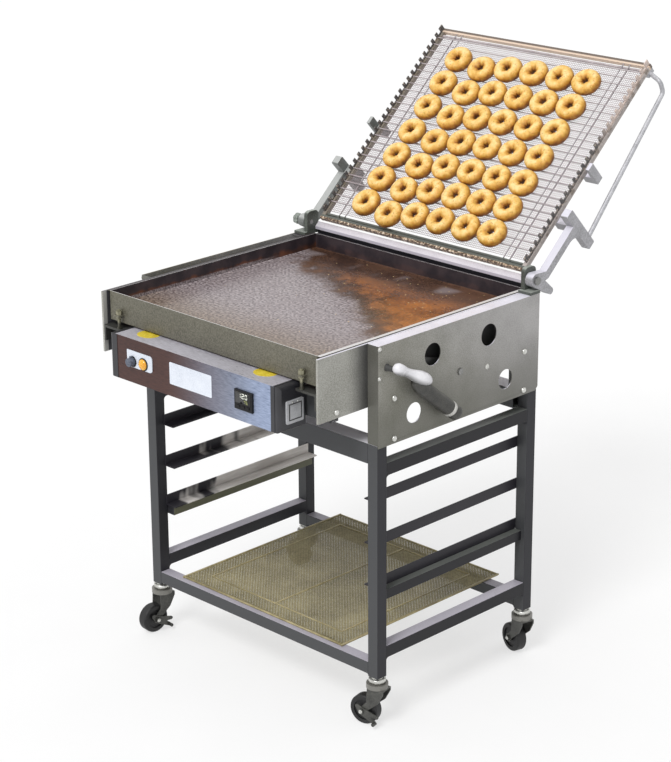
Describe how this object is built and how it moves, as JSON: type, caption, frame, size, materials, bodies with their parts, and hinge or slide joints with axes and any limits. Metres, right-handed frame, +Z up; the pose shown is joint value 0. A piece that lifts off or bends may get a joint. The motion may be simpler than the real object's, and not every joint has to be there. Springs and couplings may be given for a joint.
{
  "type": "donut icing station",
  "caption": "Wheeled donut icing station: heated icing tank with lift lever and control box on a tube cart, and a hinged wire rack that turns donuts over into the icing.",
  "frame": {"origin": "on the floor under the middle of the cart's four legs", "axes": "+Z up, +X to the right of someone standing at the control box, +Y to the back, where the rack leans"},
  "size_m": [0.9206, 1.2971, 1.4759],
  "materials": {
    "frame_paint": "satin dark grey paint",
    "bright_ledge": "bare mill finish",
    "plate_steel": "brushed stainless",
    "tank_steel": "brushed stainless",
    "zinc": "bright zinc plate",
    "box_steel": "brushed stainless",
    "grey_cover": "light grey moulding",
    "white_plate": "plain white",
    "amber": "clear amber",
    "black_plastic": "matt black",
    "grip_rubber": "dark ribbed grip",
    "nylon": "natural nylon",
    "cast_metal": "as-cast, tumbled",
    "shaft_steel": "turned steel",
    "bar_alloy": "pale satin",
    "heater_alloy": "plain",
    "chocolate": "wet chocolate icing",
    "rack_wire": "plated wire, browned by use",
    "donut": "fried dough",
    "fork_zinc": "zinc plate",
    "tyre": "black rubber",
    "screen_wire": "tinned wire, yellowed"
  },
  "bodies": {
    "cart": {"legs": "frame_paint", "side_rails": "frame_paint", "lower_cross_rails": "frame_paint", "upper_cross_rails": "frame_paint", "ledge_angles": "bright_ledge", "ledge_tubes": "frame_paint", "head_posts": "plate_steel", "side_plate_left": "plate_steel", "side_plate_right": "plate_steel", "inner_plate_left": "plate_steel", "inner_plate_right": "plate_steel", "plate_bolts": "zinc", "tank_guides": "nylon", "rest_brackets": "plate_steel", "cross_member": "frame_paint", "control_box": "box_steel", "box_ends": "frame_paint", "end_cover": "grey_cover", "switch_plate": "white_plate", "lamp_lens": "amber", "blank_plate": "white_plate", "controller": "black_plastic", "control_chassis": "black_plastic", "cord_gland": "black_plastic", "caster_sockets": "zinc", "pivot_lugs": "cast_metal", "pivot_pins": "shaft_steel", "rear_tie_bar": "bar_alloy"},
    "tank": {"tank": "tank_steel", "icing": "chocolate", "heater": "heater_alloy", "lift_rails": "tank_steel", "levelling_screws": "zinc"},
    "lever": {"lever": "cast_metal", "lever_grip": "grip_rubber"},
    "link": {"link": "shaft_steel"},
    "lift_shaft": {"lift_shaft": "shaft_steel"},
    "rack": {"rack_rails": "rack_wire", "combs": "rack_wire", "wire_grid": "rack_wire", "donuts": "donut", "rack_arms": "cast_metal", "rack_blocks": "cast_metal", "bail_rod": "rack_wire"},
    "switch_knob": {"switch_knob": "black_plastic"},
    "key_down": {"key_down": "black_plastic"},
    "key_up": {"key_up": "black_plastic"},
    "key_set": {"key_set": "black_plastic"},
    "lock_knob": {"lock_knob": "black_plastic"},
    "screen": {"shelf_screen": "screen_wire"},
    "caster_front_left": {"fork_front_left": "fork_zinc"},
    "wheel_front_left": {"wheel_front_left": "tyre"},
    "brake_front_left": {"brake_front_left": "fork_zinc"},
    "caster_front_right": {"fork_front_right": "fork_zinc"},
    "wheel_front_right": {"wheel_front_right": "tyre"},
    "brake_front_right": {"brake_front_right": "fork_zinc"},
    "caster_rear_left": {"fork_rear_left": "fork_zinc"},
    "wheel_rear_left": {"wheel_rear_left": "tyre"},
    "caster_rear_right": {"fork_rear_right": "fork_zinc"},
    "wheel_rear_right": {"wheel_rear_right": "tyre"}
  },
  "joints": [
    {"name": "lever_swing", "type": "hinge", "parent": "cart", "child": "lever", "pos_m": [0.395, -0.256, 0.921], "axis": [1, 0, 0], "range_deg": [0, 85]},
    {"name": "lift_shaft_turn", "type": "hinge", "parent": "cart", "child": "lift_shaft", "pos_m": [0, -0.004, 0.848], "axis": [1, 0, 0], "range_deg": [0, 85]},
    {"name": "link_turn", "type": "hinge", "parent": "lever", "child": "link", "pos_m": [0.3935, -0.23464, 0.93399], "axis": [1, 0, 0], "range_deg": [-85, 0]},
    {"name": "tank_lift", "type": "slide", "parent": "cart", "child": "tank", "axis": [0, 0, 1], "range_m": [0, 0.0335]},
    {"name": "rack_tilt", "type": "hinge", "parent": "cart", "child": "rack", "pos_m": [0, 0.278, 1.01], "axis": [1, 0, 0], "range_deg": [0, 137.5]},
    {"name": "switch_turn", "type": "hinge", "parent": "cart", "child": "switch_knob", "pos_m": [-0.212, -0.492, 0.846], "axis": [0, -1, 0], "range_deg": [0, 90]},
    {"name": "lock_knob_turn", "type": "hinge", "parent": "cart", "child": "lock_knob", "pos_m": [-0.422, 0.278, 1.01], "axis": [-1, 0, 0], "range_deg": [0, 180]},
    {"name": "screen_lift", "type": "slide", "parent": "cart", "child": "screen", "axis": [0, 0, 1], "range_m": [0, 0.12]},
    {"name": "key_down_press", "type": "slide", "parent": "cart", "child": "key_down", "axis": [0, 1, 0], "range_m": [0, 0.001], "stiffness_N_per_m": 600, "springref_m": -0.001},
    {"name": "key_up_press", "type": "slide", "parent": "cart", "child": "key_up", "axis": [0, 1, 0], "range_m": [0, 0.001], "stiffness_N_per_m": 600, "springref_m": -0.001},
    {"name": "key_set_press", "type": "slide", "parent": "cart", "child": "key_set", "axis": [0, 1, 0], "range_m": [0, 0.001], "stiffness_N_per_m": 600, "springref_m": -0.001},
    {"name": "swivel_front_left", "type": "hinge", "parent": "cart", "child": "caster_front_left", "pos_m": [-0.39413, -0.26913, 0.11], "axis": [0, 0, 1], "continuous": true},
    {"name": "roll_front_left", "type": "hinge", "parent": "caster_front_left", "child": "wheel_front_left", "pos_m": [-0.39691, -0.301, 0.038], "axis": [0.9962, -0.0872, 0], "continuous": true},
    {"name": "brake_front_left", "type": "hinge", "parent": "caster_front_left", "child": "brake_front_left", "pos_m": [-0.39691, -0.301, 0.038], "axis": [0.9962, -0.0872, 0], "range_deg": [0, 25]},
    {"name": "swivel_front_right", "type": "hinge", "parent": "cart", "child": "caster_front_right", "pos_m": [0.39413, -0.26913, 0.11], "axis": [0, 0, 1], "continuous": true},
    {"name": "roll_front_right", "type": "hinge", "parent": "caster_front_right", "child": "wheel_front_right", "pos_m": [0.36282, -0.27578, 0.038], "axis": [0.2079, -0.9781, 0], "continuous": true},
    {"name": "brake_front_right", "type": "hinge", "parent": "caster_front_right", "child": "brake_front_right", "pos_m": [0.36282, -0.27578, 0.038], "axis": [0.2079, -0.9781, 0], "range_deg": [0, 25]},
    {"name": "swivel_rear_left", "type": "hinge", "parent": "cart", "child": "caster_rear_left", "pos_m": [-0.39413, 0.26913, 0.11], "axis": [0, 0, 1], "continuous": true},
    {"name": "roll_rear_left", "type": "hinge", "parent": "caster_rear_left", "child": "wheel_rear_left", "pos_m": [-0.42612, 0.26913, 0.038], "axis": [0, -1, 0], "continuous": true},
    {"name": "swivel_rear_right", "type": "hinge", "parent": "cart", "child": "caster_rear_right", "pos_m": [0.39413, 0.26913, 0.11], "axis": [0, 0, 1], "continuous": true},
    {"name": "roll_rear_right", "type": "hinge", "parent": "caster_rear_right", "child": "wheel_rear_right", "pos_m": [0.36322, 0.27741, 0.038], "axis": [-0.2588, -0.9659, 0], "continuous": true}
  ],
  "couplings": [
    {"joint": "lift_shaft_turn", "follows": "lever_swing", "ratio": 1},
    {"joint": "link_turn", "follows": "lever_swing", "ratio": -1},
    {"joint": "tank_lift", "follows": "lever_swing", "m_per_rad": 0.02258}
  ]
}
